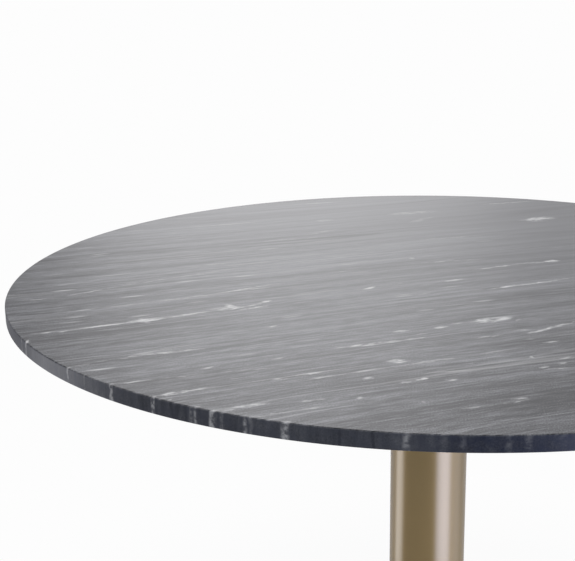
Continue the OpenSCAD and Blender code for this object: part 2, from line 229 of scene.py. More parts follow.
def vein_sum(add, coords, veins):
    """The summed strength of soft, long spots, one for each row of a table."""
    total = 0.0
    middle = (top_low.z + top_high.z) / 2
    for x0, y0, x1, y1, half_width, strength in veins:
        near = add("Mapping", {
            "Vector": coords, "Location": ((x0 + x1) / 2 * MM, (y0 + y1) / 2 * MM, middle),
            "Rotation": (0, 0, atan2(y1 - y0, x1 - x0)),
            "Scale": (hypot(x1 - x0, y1 - y0) / 2 * MM, half_width * MM, 1)},
            vector_type="TEXTURE")
        spot = add("TexGradient", {"Vector": near}, out="Fac", gradient_type="SPHERICAL")
        total = add("Math", {0: spot, 1: strength, 2: total}, operation="MULTIPLY_ADD")
    return total


def blend(add, *layers):
    """Adds up layers of noise about zero, each by its share."""
    total = 0.0
    for noise, share in layers:
        centred = add("Math", {0: noise, 1: 0.5}, operation="SUBTRACT")
        total = add("Math", {0: centred, 1: share, 2: total}, operation="MULTIPLY_ADD")
    return total


def honed_marble(add):
    """Honed dark marble: satin grey-black, with fine pale streaks one way and a few white veins."""
    stone = bpy.context.scene.table_stone
    coords = add("TexCoord", out="Object")

    # Turned so that X runs along the streaks, then bent a little, as bedded stone is
    turned = add("Mapping", {"Vector": coords, "Rotation": (0, 0, -GRAIN_ANGLE)})
    slow = add("TexNoise", {"Vector": turned, "Scale": 1.7, "Detail": 1.0})
    quick = add("TexNoise", {"Vector": turned, "Scale": 9.0, "Detail": 2.0})
    sway = add("Math", {0: slow, 1: 0.05, 2: -0.025}, operation="MULTIPLY_ADD")
    sway = add("Math", {0: quick, 1: 0.009, 2: sway}, operation="MULTIPLY_ADD")
    bent = add("VectorMath", {0: turned, 1: add("CombineXYZ", {"Y": sway})}, operation="ADD")

    # 1 on the two flat faces and 0 on the polished rim, which shows its own, plainer colour with a
    # painted cool blue tint of light
    facing = add("SeparateXYZ", {"Vector": add("TexCoord", out="Normal")}, out="Z")
    facing = add("Math", {0: facing}, operation="ABSOLUTE")
    face = add("MapRange", {"Value": facing, "From Min": 0.3, "From Max": 0.8})

    def by_face(rim, flat=1.0):
        """One value on the rim and another on the two flat faces."""
        return add("MapRange", {"Value": face, "To Min": rim, "To Max": flat})

    def streaks(length, per_metre, detail=2.0, through=0.12):
        """A noise drawn out along the bedding, and nearly even through the stone's thickness."""
        drawn = add("Mapping", {"Vector": bent, "Scale": (1 / length, 1, through)})
        return add("TexNoise", {
            "Vector": drawn, "Scale": per_metre, "Detail": detail, "Roughness": 0.6})

    def threads(length, per_metre, level, width, gate_length, gate_per_metre, gate_low):
        """Long hairlines where a streaked noise crosses a level, broken off by a second one."""
        away = add("Math", {0: streaks(length, per_metre, 1.5), 1: level}, operation="SUBTRACT")
        away = add("Math", {0: away}, operation="ABSOLUTE")
        line = add("MapRange", {
            "Value": away, "From Min": width / 3, "From Max": width, "To Min": 1.0, "To Max": 0.0})
        gate = add("MapRange", {"Value": streaks(gate_length, gate_per_metre),
                                "From Min": gate_low, "From Max": gate_low + 0.12})
        return add("Math", {0: line, 1: gate}, operation="MULTIPLY")

    # The fine streaks are crisp on one side of the slab and grow cloudy towards the other
    across = add("VectorMath", {0: coords, 1: (-0.4, -0.92, 0.0)}, "Value", operation="DOT_PRODUCT")
    clarity = add("MapRange", {
        "Value": across, "From Min": -0.4, "From Max": 0.49, "To Min": 0.05, "To Max": 1.6})
    clarity = add("Math", {0: clarity, 1: by_face(0.45)}, operation="MULTIPLY")
    broad = add("MapRange", {"Value": clarity, "From Max": 0.9, "To Min": 0.45})

    # Streaks of 8 and 3 mm and crystals of about 1 mm, then bands of 50 and 20 mm
    grain = add("TexNoise", {"Vector": coords, "Scale": 620.0, "Detail": 3.0, "Roughness": 0.65})
    fine = blend(add, (streaks(16, 120), 0.8), (streaks(8, 290), 0.9), (grain, 1.5))
    bands = blend(add, (streaks(16, 18), 0.6), (streaks(26, 50), 0.85))
    tone = add("Math", {0: bands, 1: broad}, operation="MULTIPLY")
    # The dark seams and the broad clouds, which are partly painted shade, darken the tone
    for layer, share in ((fine, clarity), (vein_sum(add, coords, DARK_SEAMS_AND_SHADE), -0.5),
                         (threads(26, 21, 0.47, 0.012, 9, 14, 0.48), -0.35)):
        tone = add("Math", {0: layer, 1: share, 2: tone}, operation="MULTIPLY_ADD")
    depth = add("MapRange", {"Value": tone, "From Min": -0.5, "From Max": 0.75})
    depth = add("Math", {0: depth, 1: 1.4}, operation="POWER")
    ground = add("Mix", {
        "Factor": depth, "A": rgba(stone.dark), "B": rgba(stone.pale)}, data_type="RGBA")

    # Small lens-shaped flecks, 14 mm apart, in about one cell in seven
    cell = add("Mapping", {"Vector": bent, "Scale": (1 / 6, 1, 0.15)})
    cells = add("TexVoronoi", {"Vector": cell, "Scale": 70.0}).node.outputs
    chance = add("SeparateColor", {"Color": cells["Color"]})
    chance = add("MapRange", {"Value": chance, "From Min": 0.78, "From Max": 0.95})
    core = add("MapRange", {
        "Value": cells["Distance"], "From Min": 0.05, "From Max": 0.24,
        "To Min": 1.0, "To Max": 0.0})
    flecks = add("Math", {0: core, 1: chance}, operation="MULTIPLY")

    # The veins of the table wander by up to 5 mm and break into clusters of grains
    stray = add("TexNoise", {
        "Vector": coords, "Scale": 70.0, "Detail": 4.0, "Roughness": 0.65}, out="Color")
    stray = add("VectorMath", {
        0: stray, 1: (0.010, 0.010, 0.0), 2: (-0.005, -0.005, 0.0)}, operation="MULTIPLY_ADD")
    stray = add("VectorMath", {0: stray, "Scale": by_face(0.4)}, operation="SCALE")
    stray = add("VectorMath", {0: coords, 1: stray}, operation="ADD")
    veins = add("MapRange", {
        "Value": vein_sum(add, stray, PALE_VEINS), "From Min": 0.08, "From Max": 0.58})
    crumbs = add("MapRange", {
        "Value": streaks(4, 230, 3.0, 0.7), "From Min": 0.42, "From Max": 0.58,
        "To Min": 0.15, "To Max": 1.15})
    crumbs = add("Math", {0: crumbs, 1: by_face(0.65)}, operation="MULTIPLY")
    white = add("Math", {0: veins, 1: crumbs}, operation="MULTIPLY")
    for pale, share in ((threads(34, 19, 0.5, 0.009, 10, 12, 0.48), 0.22),
                        (threads(30, 46, 0.52, 0.014, 8, 24, 0.5), 0.25), (flecks, 0.65)):
        pale = add("Math", {0: pale, 1: clarity}, operation="MULTIPLY")
        pale = add("Math", {0: pale, 1: face}, operation="MULTIPLY")
        white = add("Math", {0: pale, 1: share, 2: white}, operation="MULTIPLY_ADD")
    white = add("Math", {0: white, 1: stone.vein_strength}, operation="MULTIPLY", use_clamp=True)

    # The rim is clouded, and paler left of the middle as painted light from the window at the left,
    # in a band that fades from 145 to 210 mm out
    lit_left_band = add("SeparateXYZ", {"Vector": coords}, out="X")
    lit_left_band = add("Math", {0: lit_left_band, 1: 0.165}, operation="ADD")
    lit_left_band = add("Math", {0: lit_left_band}, operation="ABSOLUTE")
    lit_left_band = add("MapRange", {
        "Value": lit_left_band, "From Min": 0.145, "From Max": 0.21, "To Min": 1.0, "To Max": 0.0})
    plain = add("Mix", {
        "Factor": lit_left_band, "A": rgba(stone.rim), "B": rgba(stone.rim_painted_light)}, data_type="RGBA")
    cloud = add("TexNoise", {"Vector": coords, "Scale": 85.0, "Detail": 3.0})
    cloud = add("MapRange", {
        "Value": cloud, "From Min": 0.35, "From Max": 0.65, "To Min": 0.85, "To Max": 0.5})
    cloud = add("Math", {0: by_face(1.0, 0.0), 1: cloud}, operation="MULTIPLY")
    ground = add("Mix", {"Factor": cloud, "A": ground, "B": plain}, data_type="RGBA")
    colour = add("Mix", {"Factor": white, "A": ground, "B": rgba(stone.vein)}, data_type="RGBA")

    # A honed face is even, with a trace of the grit it was worked with
    gloss = add("MapRange", {
        "Value": grain, "To Min": stone.roughness - 0.05, "To Max": stone.roughness + 0.05})
    grit = add("TexNoise", {"Vector": coords, "Scale": 1400.0, "Detail": 2.0})
    bump = add("Bump", {"Height": grit, "Strength": 0.12, "Distance": 0.1 * MM})
    return add("BsdfPrincipled", {
        "Base Color": colour, "Roughness": gloss, "IOR": 1.5,
        "Specular IOR Level": by_face(0.32, 0.5), "Normal": bump})


def bronze_plated_steel(add):
    """Bronze-plated steel under satin lacquer: brown in the shade, with soft, pale highlights."""
    metal = bpy.context.scene.table_metal
    coords = add("TexCoord", out="Object")
    # Turned marks, drawn 0.5 mm apart so that they show, are short along Z and long round the tube
    rings = add("Mapping", {"Vector": coords, "Scale": (6, 6, 160)})
    marks = add("TexNoise", {"Vector": rings, "Scale": 14.0, "Detail": 4.0, "Roughness": 0.7})
    cloud = add("TexNoise", {"Vector": coords, "Scale": 9.0, "Detail": 3.0})
    tone = 0.0
    for noise in (marks, cloud):
        tone = add("Math", {0: noise, 1: 0.5, 2: tone}, operation="MULTIPLY_ADD")
    deep, light = (tuple(c * k for c in metal.colour) for k in (0.9, 1.1))
    colour = add("Mix", {"Factor": tone, "A": rgba(deep), "B": rgba(light)}, data_type="RGBA")
    gloss = add("MapRange", {
        "Value": marks, "To Min": metal.roughness - 0.05, "To Max": metal.roughness + 0.05})
    bump = add("Bump", {"Height": marks, "Strength": 0.05, "Distance": 0.1 * MM})
    # The marks run round the Z axis, so the metal spreads its highlights along the tube
    round_axis = add("VectorMath", {0: (0.0, 0.0, 1.0), 1: coords}, operation="CROSS_PRODUCT")
    return add("BsdfPrincipled", {
        "Base Color": colour, "Metallic": 0.25, "Roughness": gloss, "Normal": bump,
        "Tangent": round_axis, "Anisotropic": 0.6, "Anisotropic Rotation": 0.25,
        "Coat Weight": 1.0, "Coat Roughness": 0.2, "Coat IOR": 1.9})


def plain_finish(add, dark, light, scale, roughness, height, strength, values=None,
                 stretch=(1, 1, 1)):
    """A finish of two close colours: one noise varies its colour, its gloss and its height."""
    coords = add("TexCoord", out="Object")
    spread = add("Mapping", {"Vector": coords, "Scale": stretch})
    fine = add("TexNoise", {"Vector": spread, "Scale": scale, "Detail": 4.0, "Roughness": 0.6})
    broad = add("TexNoise", {"Vector": coords, "Scale": 14.0, "Detail": 3.0})
    tone = add("Math", {0: fine, 1: broad}, operation="MULTIPLY")
    tone = add("MapRange", {"Value": tone, "From Min": 0.14, "From Max": 0.38})
    colour = add("Mix", {"Factor": tone, "A": rgba(dark), "B": rgba(light)}, data_type="RGBA")
    gloss = add("MapRange", {"Value": fine, "From Min": 0.3, "From Max": 0.7,
                             "To Min": roughness - 0.06, "To Max": roughness + 0.06})
    bump = add("Bump", {"Height": fine, "Strength": strength, "Distance": height * MM})
    return add("BsdfPrincipled", {
        "Base Color": colour, "Roughness": gloss, "Normal": bump, **(values or {})})


# Each slot's material: its name and its function, and for a plain one the dark and light colour,
# noises a metre, roughness, height in mm, bump strength, other shader values and stretch
FINISHES = {
    "honed_marble": ("honed marble", honed_marble),
    "bronze_plated_steel": ("bronze plated steel, satin lacquer", bronze_plated_steel),
    # Baked powder: an even black with a fine orange peel, about 1 mm from crest to crest
    "black_powder_coat": (
        "black powder coat", plain_finish, "#141415", "#232325", 1000, 0.5, 0.2, 0.35),
    # Sand-cast iron, shot-blasted and primed: dark grey with a coarse open skin
    "cast_iron": (
        "cast iron, primed", plain_finish, "#1d1e20", "#3a3b3e", 420, 0.68, 0.6, 0.7,
        {"Metallic": 0.2}),
    # Bright zinc plate with a blue passivation: pale and slightly clouded
    "zinc_plated_steel": (
        "zinc plated steel", plain_finish, "#9c9fa3", "#c9cbcd", 700, 0.3, 0.1, 0.15,
        {"Metallic": 1.0}),
    # Black oxide over hardened steel: an oily dark grey
    "black_oxide_steel": (
        "black oxide steel", plain_finish, "#1a1a1c", "#2e2e31", 900, 0.38, 0.1, 0.15,
        {"Metallic": 0.9}),
    # Turned brass: a warm yellow with fine tool marks round each insert
    "brass": (
        "turned brass", plain_finish, "#a8863f", "#cfae66", 300, 0.28, 0.1, 0.25,
        {"Metallic": 1.0}, (1, 1, 8)),
    # Solid rubber sheet: dull black with a soft bloom
    "gasket_rubber": ("rubber sheet", plain_finish, "#161617", "#2a2a2b", 600, 0.82, 0.2, 0.4),
    # Pressed wool felt: matted fibres a few millimetres long, with a soft sheen
    "wool_felt": (
        "pressed wool felt", plain_finish, "#37373a", "#6a6a6e", 650, 0.95, 0.6, 0.9,
        {"Sheen Weight": 0.4, "Sheen Roughness": 0.5}),
    # Injection-moulded nylon: black with a fine spark-eroded texture
    "black_nylon": (
        "moulded nylon, black", plain_finish, "#101011", "#1e1e20", 1200, 0.46, 0.2, 0.3),
}


# ---- Shapes ----

class Outline:
    """Draws an outline in radius and height, and spins it into a closed solid."""

    def __init__(self, radius, height):
        self.bm = bmesh.new()
        self.first = self.last = self.bm.verts.new((radius, 0, height))

    def line(self, radius, height):
        """Draws a straight line to a point."""
        self.last = bmesh.ops.extrude_vert_indiv(self.bm, verts=[self.last])["verts"][0]
        self.last.co = (radius, 0, height)
        return self

    def arc(self, radius, height, angle, steps):
        """Draws an arc about a centre; a positive angle in degrees turns from +X towards +Z."""
        made = bmesh.ops.spin(self.bm, geom=[self.last], cent=(radius, 0, height),
                              axis=(0, -1, 0), angle=radians(angle), steps=steps)
        self.last = next(v for v in made["geom_last"] if isinstance(v, bmesh.types.BMVert))
        return self

    def solid(self, steps):
        """Closes the outline, spins it round the Z axis and gives the bmesh."""
        self.bm.edges.new((self.last, self.first))
        bmesh.ops.spin(self.bm, geom=self.bm.verts[:] + self.bm.edges[:], axis=(0, 0, 1),
                       angle=tau, steps=steps, use_merge=True)
        return self.bm


def soften(bm, width, least):
    """Rounds every edge that is sharper than the least angle in degrees."""
    bm.normal_update()
    sharp = [e for e in bm.edges
             if len(e.link_faces) == 2 and e.calc_face_angle(0) > radians(least)]
    bmesh.ops.bevel(bm, geom=sharp, offset=width, segments=2, profile=0.5, affect="EDGES",
                    material=-1, clamp_overlap=True)


def node_copy(name):
    """A CAD node's solids in a bmesh, with their loose triangles joined and flat faces whole."""
    bm = bmesh.new()
    bm.from_mesh(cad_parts[name].data)
    bmesh.ops.remove_doubles(bm, verts=bm.verts, dist=2e-6)
    bmesh.ops.dissolve_limit(bm, angle_limit=radians(0.4), verts=bm.verts, edges=bm.edges)
    return bm


def finish_piece(name, bm, slot, *nodes, body="table", sharp=32):
    """Turns a bmesh into a piece, smooth between sharp edges, on its body and for its nodes."""
    bmesh.ops.remove_doubles(bm, verts=bm.verts, dist=1e-6)
    bmesh.ops.recalc_face_normals(bm, faces=bm.faces)
    for face in bm.faces:
        face.smooth = True
    for edge in bm.edges:
        edge.smooth = len(edge.link_faces) == 2 and edge.calc_face_angle(pi) < radians(sharp)
    mesh = bpy.data.meshes.new(name)
    bm.to_mesh(mesh)
    bm.free()
    mesh.materials.append(material(*FINISHES[slot]))
    piece = bpy.data.objects.new(name, mesh)
    bpy.context.scene.collection.objects.link(piece)
    normals = piece.modifiers.new("even shading", "WEIGHTED_NORMAL")
    normals.keep_sharp = True
    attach(piece, body)
    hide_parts(*nodes)


def finish_copy(name, node, slot, body="table", sharp=35):
    """Makes a piece in the shape of its CAD node."""
    finish_piece(name, node_copy(node), slot, node, body=body, sharp=sharp)


def merge_in(bm, other):
    """Adds another bmesh's shape to bm, and frees the other."""
    mesh = bpy.data.meshes.new("part")
    other.to_mesh(mesh)
    other.free()
    bm.from_mesh(mesh)
    bpy.data.meshes.remove(mesh)


def thread(radius, depth, pitch, low, high, steps=40):
    """A closed helical ridge with a 60 degree crest, from one height to another, on the Z axis."""
    bm = bmesh.new()
    root = radius - depth
    half, crest, sunk = 0.47 * pitch, 0.07 * pitch, 0.3 * depth
    turns = (high - low) / pitch - 1
    start = low + pitch / 2
    corners = [bm.verts.new((r, 0, start + z)) for r, z in (
        (root - sunk, -half), (root, -half), (radius, -crest),
        (radius, crest), (root, half), (root - sunk, half))]
    face = bm.faces.new(corners)
    count = int(turns * steps)
    bmesh.ops.spin(bm, geom=[face], axis=(0, 0, 1), dvec=(0, 0, pitch / steps),
                   angle=tau * count / steps, steps=count)
    return bm


def bead(bm, start, end, radius, ripple=1.6 * MM):
    """A weld bead between two points: a run of close rings, each a little fuller or leaner."""
    start, end = Vector(start), Vector(end)
    way = end - start
    count = max(4, round(way.length / ripple) * 2)
    turn = way.to_track_quat("Z", "Y").to_matrix().to_4x4()
    tip = 0.55
    made = bmesh.ops.create_circle(bm, cap_ends=True, segments=10, radius=radius * tip,
                                   matrix=Matrix.Translation(start) @ turn)
    last = [made["verts"][0].link_faces[0]]
    for i in range(1, count + 1):
        ring = bmesh.ops.extrude_face_region(bm, geom=last, use_keep_orig=i == 1)["geom"]
        last = [g for g in ring if isinstance(g, bmesh.types.BMFace)]
        before = start + way * ((i - 1) / count)
        centre = start + way * (i / count)
        size = radius * (tip if i == count else 1.0 + 0.07 * (-1) ** i + 0.04 * sin(i * 1.7))
        for vert in (g for g in ring if isinstance(g, bmesh.types.BMVert)):
            vert.co = centre + (vert.co - before).normalized() * size


# ---- Settings ----

class TableStone(bpy.types.PropertyGroup):
    """Sizes and colours of the stone top."""
    top_arris: FloatProperty(
        name="Upper arris", description="Radius of the eased upper edge",
        default=1.5 * MM, min=0.0, unit="LENGTH")
    under_arris: FloatProperty(
        name="Lower arris", description="Radius of the eased lower edge",
        default=1.0 * MM, min=0.0, unit="LENGTH")
    steps: IntProperty(
        name="Rim steps", description="Straight steps round the rim", default=384, min=24)
    dark: FloatVectorProperty(
        name="Dark ground", description="The stone's darkest grey",
        default=linear("#16171B"), subtype="COLOR")
    pale: FloatVectorProperty(
        name="Pale ground", description="The stone's lightest grey between veins",
        default=linear("#8F8F91"), subtype="COLOR")
    vein: FloatVectorProperty(
        name="Vein", description="Colour of the pale veins",
        default=linear("#C8C6C3"), subtype="COLOR")
    # The rim's deep colour of polished stone carries a painted cool blue tint of light
    rim: FloatVectorProperty(
        name="Rim", description="The deep colour of the polished rim",
        default=linear("#1A2135"), subtype="COLOR")
    # Painted light: the rim is paler left of the middle, as if lit by the window at the left
    rim_painted_light: FloatVectorProperty(
        name="Pale rim", description="The paler colour of the rim left of the middle",
        default=linear("#43454D"), subtype="COLOR")
    vein_strength: FloatProperty(
        name="Vein strength", description="How strongly the pale veins show",
        default=0.8, min=0.0, max=2.0, subtype="FACTOR")
    roughness: FloatProperty(
        name="Honed finish", description="Roughness of the honed face",
        default=0.33, min=0.05, max=1.0, subtype="FACTOR")


class TableMetal(bpy.types.PropertyGroup):
    """Sizes and colours of the metal pieces."""
    colour: FloatVectorProperty(
        name="Bronze", description="Colour of the bronze plating",
        default=linear("#B19560"), subtype="COLOR")
    roughness: FloatProperty(
        name="Satin finish", description="Roughness of the satin bronze",
        default=0.48, min=0.1, max=1.0, subtype="FACTOR")
    tube_wall: FloatProperty(
        name="Column wall", description="Wall of the column tube",
        default=2.5 * MM, min=0.001, unit="LENGTH")
    steps: IntProperty(
        name="Round steps", description="Straight steps round the column and its collar",
        default=192, min=24)
    shoulder: FloatProperty(
        name="Base shoulder", description="Radius of the base cover's shoulder",
        default=14 * MM, min=0.001, unit="LENGTH")
    edge_height: FloatProperty(
        name="Base edge height", description="Height of the base at its edge",
        default=34 * MM, min=0.01, unit="LENGTH")
    land: FloatProperty(
        name="Base land", description="Radius of the flat round the column's foot",
        default=85.15 * MM, min=0.01, unit="LENGTH")
    sheet: FloatProperty(
        name="Cover sheet", description="Sheet thickness of the base cover",
        default=2 * MM, min=0.0005, unit="LENGTH")
    weld: FloatProperty(
        name="Weld bead", description="Half the width of a weld bead",
        default=2.6 * MM, min=0.0005, unit="LENGTH")
    glide_pitch: FloatProperty(
        name="Glide thread pitch", description="Pitch of the glides' M10 thread",
        default=1.5 * MM, min=0.0005, unit="LENGTH")
    rod_pitch: FloatProperty(
        name="Tie rod thread pitch", description="Pitch of the tie rod's M16 thread",
        default=2 * MM, min=0.0005, unit="LENGTH")


class TableStudio(bpy.types.PropertyGroup):
    """The plain studio that the table stands in."""
    backdrop: FloatVectorProperty(
        name="Backdrop", description="Colour of the backdrop",
        default=linear("#FDFDFD"), subtype="COLOR")
    floor: FloatVectorProperty(
        name="Floor", description="Colour of the pale floor",
        default=linear("#EDEDEB"), subtype="COLOR")
    floor_radius: FloatProperty(
        name="Floor radius", description="Radius of the floor",
        default=12.0, min=1.0, unit="LENGTH")
    overhead: FloatProperty(
        name="Overhead light", description="Power of the overhead softbox in watts",
        default=28.0, min=0.0)
    key: FloatProperty(
        name="Key light", description="Power of the softbox at the front right in watts",
        default=9.0, min=0.0)


# ---- The studio ----

def glow(add, direction):
    """The colour of the surroundings that polished pieces show, by direction and height."""
    flat = add("VectorMath", {0: direction, 1: (1.0, 1.0, 0.0)}, operation="MULTIPLY")
    flat = add("VectorMath", {0: flat}, operation="NORMALIZE")
    up = add("SeparateXYZ", {"Vector": direction}, out="Z")
    heights = {
        "low": add("MapRange", {"Value": up, "From Max": 0.2, "To Min": 1.0, "To Max": 0.2}),
        "high": add("MapRange", {"Value": up, "From Min": 0.03, "From Max": 0.25}),
        "both": 1.0}
    total = DIM_ROOM
    for azimuth, full, outer, colour, share, height in GLOWS:
        way = (sin(radians(azimuth)), -cos(radians(azimuth)), 0.0)
        facing = add("VectorMath", {0: flat, 1: way}, out="Value", operation="DOT_PRODUCT")
        lit = add("MapRange", {
            "Value": facing, "From Min": cos(radians(outer)), "From Max": cos(radians(full)),
            "To Max": share}, interpolation_type="SMOOTHSTEP")
        lit = add("Math", {0: lit, 1: heights[height]}, operation="MULTIPLY")
        total = add("VectorMath", {0: lit, 1: linear(colour), 2: total}, operation="MULTIPLY_ADD")
    # The ceiling is dim
    dim = add("MapRange", {
        "Value": up, "From Min": 0.55, "From Max": 0.9, "To Min": 1.0, "To Max": 0.3},
        interpolation_type="SMOOTHSTEP")
    return add("VectorMath", {0: total, "Scale": dim}, operation="SCALE")


def ray_kinds(add):
    """Two values: 1 for the camera's own rays, and 1 for rays off or through a polished piece."""
    path = add("LightPath").node.outputs
    polished = add("Math", {
        0: path["Is Glossy Ray"], 1: path["Is Transmission Ray"]}, operation="MAXIMUM")
    return path["Is Camera Ray"], polished


def make_surroundings(scene):
    """The world: white to the camera, glowing to polished pieces and even to the rest."""
    world = bpy.data.worlds.new("studio")
    scene.world = world
    world.use_nodes = True
    world.node_tree.nodes.clear()
    add = partial(add_node, world.node_tree)
    camera, polished = ray_kinds(add)
    around = glow(add, add("TexCoord", out="Generated"))
    colour = add("Mix", {"Factor": polished, "A": rgba(SKY), "B": around}, data_type="RGBA")
    colour = add("Mix", {
        "Factor": camera, "A": colour, "B": rgba(scene.table_studio.backdrop)}, data_type="RGBA")
    add("OutputWorld", {"Surface": add("Background", {"Color": colour})})
    world.cycles.sampling_method = "NONE"


def floor_paint(add):
    """Pale floor paint, nearly lost in the backdrop, that keeps the table's shadow."""
    studio = bpy.context.scene.table_studio
    camera, polished = ray_kinds(add)
    coords = add("TexCoord", out="Object")
    mottle = add("TexNoise", {"Vector": coords, "Scale": 6.0, "Detail": 3.0})
    shade = add("MapRange", {"Value": mottle, "To Min": 0.985, "To Max": 1.0})
    pale = add("Mix", {
        "Factor": shade, "A": rgba((0, 0, 0)), "B": rgba(studio.floor)}, data_type="RGBA")
    matt = add("BsdfDiffuse", {"Color": pale})
    away = add("VectorMath", {0: coords}, out="Value", operation="LENGTH")
    share = add("MapRange", {
        "Value": away, "From Min": 0.35, "From Max": 0.95, "To Min": 0.95, "To Max": 1.0},
        interpolation_type="SMOOTHSTEP")
    white = add("Emission", {"Color": rgba(studio.backdrop)})
    seen = add("MixShader", {0: share, 1: matt, 2: white})

    # Polished pieces see the glow of the surroundings in it, and a painted shadow near the base
    clear = add("MapRange", {"Value": away, "From Min": 0.33, "From Max": 0.6})
    around = add("Mix", {
        "Factor": clear, "A": rgba(FLOOR_PAINTED_SHADOW), "B": glow(add, coords)}, data_type="RGBA")
    surface = add("MixShader", {0: camera, 1: matt, 2: seen})
    surface = add("MixShader", {0: polished, 1: surface, 2: add("Emission", {"Color": around})})

    # From below, the floor lets the underside of the table be seen
    below = add("NewGeometry", out="Backfacing")
    return add("MixShader", {0: below, 1: surface, 2: add("BsdfTransparent")})


def make_floor(scene):
    """The floor: a pale disc under the table."""
    bm = bmesh.new()
    bmesh.ops.create_circle(bm, cap_ends=True, segments=128, radius=scene.table_studio.floor_radius)
    mesh = bpy.data.meshes.new("studio_floor")
    bm.to_mesh(mesh)
    bm.free()
    paint = material("pale floor paint", floor_paint)
    paint.cycles.emission_sampling = "NONE"
    mesh.materials.append(paint)
    floor = bpy.data.objects.new("studio_floor", mesh)
    scene.collection.objects.link(floor)


def make_lights(scene):
    """The lights: a wide softbox overhead, and a tall one at the front right."""
    studio = scene.table_studio
    target = Vector((0, 0, top_high.z))
    # Name, watts, width and height, place and colour
    for name, power, size, at, colour in (
            ("overhead softbox", studio.overhead, (2.4, 2.4), (-0.3, 0.5, 2.9), "#FFFFFF"),
            ("key softbox", studio.key, (1.2, 1.8), (1.6, -1.75, 1.2), "#DCE6FF")):
        lamp = bpy.data.lights.new(name, "AREA")
        lamp.shape = "RECTANGLE"
        lamp.size, lamp.size_y = size
        lamp.energy = power
        lamp.color = linear(colour)
        holder = bpy.data.objects.new(name, lamp)
        aim = (target - Vector(at)).to_track_quat("-Z", "Y")
        holder.matrix_world = Matrix.Translation(at) @ aim.to_matrix().to_4x4()
        holder.visible_glossy = False
        scene.collection.objects.link(holder)


def make_camera(scene):
    """The camera: aimed past the table's left, a little above the surface."""
    camera = bpy.data.cameras.new("camera")
    camera.sensor_fit = "HORIZONTAL"
    camera.sensor_width = 36.0
    camera.lens = CAMERA_LENS
    eye = bpy.data.objects.new("camera", camera)
    reach, lift = CAMERA_REACH * TOP_RADIUS, radians(CAMERA_LIFT)
    eye.matrix_world = (
        Matrix.Translation((0, -reach * cos(lift), top_high.z + reach * sin(lift)))
        @ Matrix.Rotation(radians(CAMERA_PAN), 4, "Z")
        @ Matrix.Rotation(radians(90 - CAMERA_TILT), 4, "X")
        @ Matrix.Rotation(radians(CAMERA_ROLL), 4, "Z"))
    scene.collection.objects.link(eye)
    bpy.context.scene.camera = eye


# ---- Operators ----

class TABLE_OT_stage(bpy.types.Operator):
    """Makes the floor, the surroundings, the lights and the camera"""
    bl_idname = "table.stage"
    bl_label = "Studio"

    def execute(self, context):
        scene = context.scene
        scene.view_settings.view_transform = "Standard"
        make_surroundings(scene)
        make_floor(scene)
        make_lights(scene)
        make_camera(scene)
        return {"FINISHED"}


class TABLE_OT_stone_top(bpy.types.Operator):
    """Makes the stone top with its eased edges"""
    bl_idname = "table.stone_top"
    bl_label = "Stone top"

    def execute(self, context):
        stone = context.scene.table_stone
        low, high = top_low.z, top_high.z
        r, over, under = TOP_RADIUS, stone.top_arris, stone.under_arris
        outline = Outline(0, low).line(r - under, low).arc(r - under, low + under, 90, 5)
        outline.line(r, high - over).arc(r - over, high - over, 90, 6).line(0, high)
        finish_piece("top_stone", outline.solid(stone.steps), "honed_marble", "stone_top")
        return {"FINISHED"}


class TABLE_OT_column(bpy.types.Operator):
    """Makes the column tube and the flared collar at its foot"""
    bl_idname = "table.column"
    bl_label = "Column"

    def execute(self, context):
        metal = context.scene.table_metal
        r, low, high, ease = tube_high.x, tube_low.z, tube_high.z, 0.6 * MM
        bore = r - metal.tube_wall
        outline = Outline(bore, low).line(r - ease, low).arc(r - ease, low + ease, 90, 3)
        outline.line(r, high - ease).arc(r - ease, high - ease, 90, 3).line(bore, high)
        finish_piece("column", outline.solid(metal.steps), "bronze_plated_steel", "column_tube")

        foot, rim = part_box("column_collar")
        inner, lip = r + 0.25 * MM, 2.5 * MM
        outer = rim.x
        across, up = outer - inner - lip, rim.z - foot.z - lip
        # The hollow flare is a quarter circle, stretched to its width and height
        outline = Outline(inner, foot.z).line(outer, foot.z).line(outer, foot.z + lip)
        start = len(outline.bm.verts)
        outline.arc(outer, foot.z + lip + up, -90, 14)
        outline.bm.verts.ensure_lookup_table()
        bmesh.ops.scale(outline.bm, vec=(across / up, 1, 1), verts=outline.bm.verts[start:],
                        space=Matrix.Translation((-outer, 0, 0)))
        bm = outline.line(inner, rim.z).solid(metal.steps)
        soften(bm, width=0.5 * MM, least=50)
        finish_piece("column_foot_collar", bm, "bronze_plated_steel", "column_collar")
        return {"FINISHED"}


class TABLE_OT_base_cover(bpy.types.Operator):
    """Makes the spun base cover with its rolled hem"""
    bl_idname = "table.base_cover"
    bl_label = "Base cover"

    def execute(self, context):
        metal = context.scene.table_metal
        low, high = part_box("base_cover")
        r, sheet, shoulder, land = high.x, metal.sheet, metal.shoulder, metal.land
        hem, bore, ease = 2.5 * MM, 8.5 * MM, 1.0 * MM
        inner, bend = r - sheet, metal.edge_height - shoulder
        # The dome is an arc that runs level into the land and meets the shoulder's arc
        run = r - shoulder - land
        slope = 2 * atan2(high.z - metal.edge_height, run)
        crown = high.z - (shoulder + run / sin(slope))
        turn = 90 - degrees(slope)
        # Out along the hem, up and in along the upper skin, and back along the lower skin
        outline = Outline(inner - hem, low.z).line(inner, low.z).line(r - ease, low.z)
        outline.arc(r - ease, low.z + ease, 90, 4).line(r, bend)
        outline.arc(r - shoulder, bend, turn, 10).arc(land, crown, 90 - turn, 24)
        outline.line(bore, high.z).line(bore, high.z - sheet).line(land, high.z - sheet)
        outline.arc(land, crown, turn - 90, 16).arc(r - shoulder, bend, -turn, 6)
        bm = outline.line(inner, low.z + sheet).line(inner - hem, low.z + sheet).solid(steps=288)
        finish_piece("base_cover_shell", bm, "bronze_plated_steel", "base_cover")
        return {"FINISHED"}


